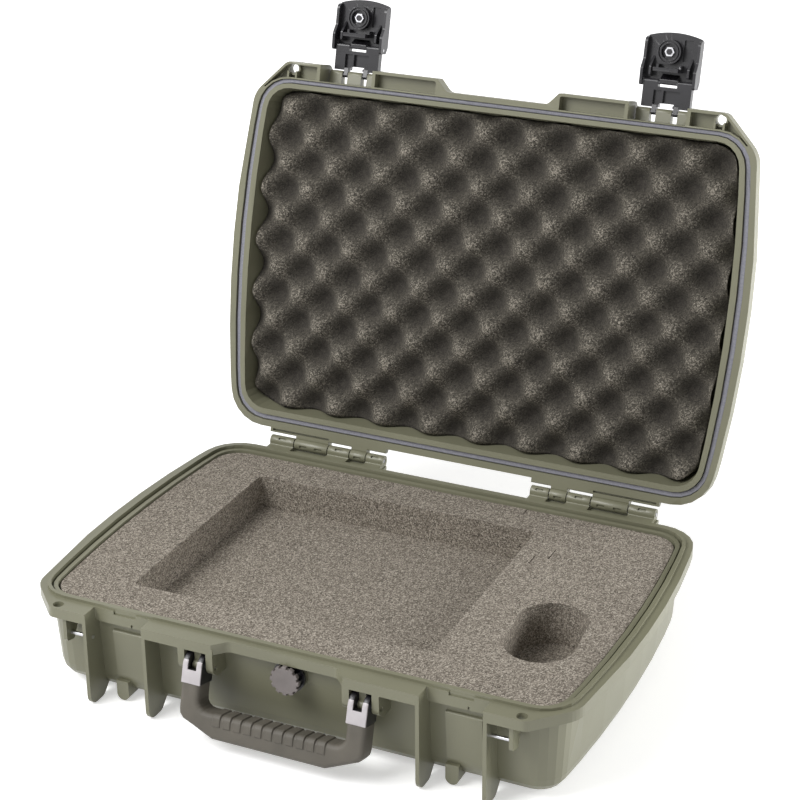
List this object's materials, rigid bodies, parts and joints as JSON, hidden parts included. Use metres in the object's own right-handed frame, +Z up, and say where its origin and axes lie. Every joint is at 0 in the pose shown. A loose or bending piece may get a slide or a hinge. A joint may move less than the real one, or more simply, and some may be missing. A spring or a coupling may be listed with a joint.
{
  "type": "laptop hard case",
  "caption": "Moulded hard case standing open: ribbed base and lid on pinned hinges, press-and-pull latches, folding handle, purge valve and foam inserts.",
  "frame": {"origin": "middle of the resting panel on the underside, on the floor", "axes": "+X right along the front, +Y from the front to the hinges, +Z up"},
  "size_m": [0.49, 0.495, 0.4778],
  "materials": {
    "shell_plastic": "moulded, lightly textured",
    "grey_foam": "open-cell foam",
    "charcoal_foam": "convoluted open-cell foam",
    "gasket_rubber": "smooth",
    "steel": "plain",
    "grip_rubber": "over-moulded, satin",
    "yoke_plastic": "satin",
    "black_plastic": "moulded gloss",
    "valve_plastic": "satin",
    "seal_rubber": "smooth",
    "membrane": "porous membrane"
  },
  "bodies": {
    "base": {"base_shell": "shell_plastic", "base_foam": "grey_foam", "base_foam_pad": "grey_foam", "hinge_pin_left": "steel", "hinge_pin_right": "steel", "strap_pin_left": "steel", "strap_pin_right": "steel", "handle_pin_left": "steel", "handle_pin_right": "steel", "valve_body": "black_plastic", "valve_cap": "valve_plastic", "valve_seal": "seal_rubber", "valve_nut": "black_plastic", "valve_membrane": "membrane"},
    "lid": {"lid_shell": "shell_plastic", "lid_gasket": "gasket_rubber", "lid_foam": "charcoal_foam", "latch_pivot_pin_left": "steel", "latch_pivot_pin_right": "steel"},
    "handle": {"handle_grip": "grip_rubber", "handle_yoke_left": "yoke_plastic", "handle_yoke_right": "yoke_plastic"},
    "left_link": {"latch_link_left": "black_plastic"},
    "left_lever": {"latch_lever_left": "black_plastic", "lever_pin_left": "steel", "latch_spring_left": "steel"},
    "left_button": {"latch_button_left": "black_plastic", "latch_nut_left": "steel"},
    "right_link": {"latch_link_right": "black_plastic"},
    "right_lever": {"latch_lever_right": "black_plastic", "lever_pin_right": "steel", "latch_spring_right": "steel"},
    "right_button": {"latch_button_right": "black_plastic", "latch_nut_right": "steel"}
  },
  "joints": [
    {"name": "lid_hinge", "type": "hinge", "parent": "base", "child": "lid", "pos_m": [0, 0.184, 0.0874], "axis": [1, 0, 0], "range_deg": [0, 104.1]},
    {"name": "handle_swing", "type": "hinge", "parent": "base", "child": "handle", "pos_m": [0, -0.16, 0.0625], "axis": [1, 0, 0], "range_deg": [-74, 0]},
    {"name": "left_link_pivot", "type": "hinge", "parent": "lid", "child": "left_link", "pos_m": [-0.14575, 0.2862, 0.41384], "axis": [1, 0, 0], "range_deg": [0, 90]},
    {"name": "left_lever_pivot", "type": "hinge", "parent": "left_link", "child": "left_lever", "pos_m": [-0.14575, 0.29385, 0.43769], "axis": [1, 0, 0], "range_deg": [-60, 0]},
    {"name": "left_button_press", "type": "slide", "parent": "left_lever", "child": "left_button", "axis": [0, -0.9699, 0.2436], "range_m": [0, 0.002], "stiffness_N_per_m": 1500, "springref_m": -0.001, "deforming": ["latch_spring_left"]},
    {"name": "right_link_pivot", "type": "hinge", "parent": "lid", "child": "right_link", "pos_m": [0.14575, 0.2862, 0.41384], "axis": [1, 0, 0], "range_deg": [0, 90]},
    {"name": "right_lever_pivot", "type": "hinge", "parent": "right_link", "child": "right_lever", "pos_m": [0.14575, 0.29385, 0.43769], "axis": [1, 0, 0], "range_deg": [-60, 0]},
    {"name": "right_button_press", "type": "slide", "parent": "right_lever", "child": "right_button", "axis": [0, -0.9699, 0.2436], "range_m": [0, 0.002], "stiffness_N_per_m": 1500, "springref_m": -0.001, "deforming": ["latch_spring_right"]}
  ]
}
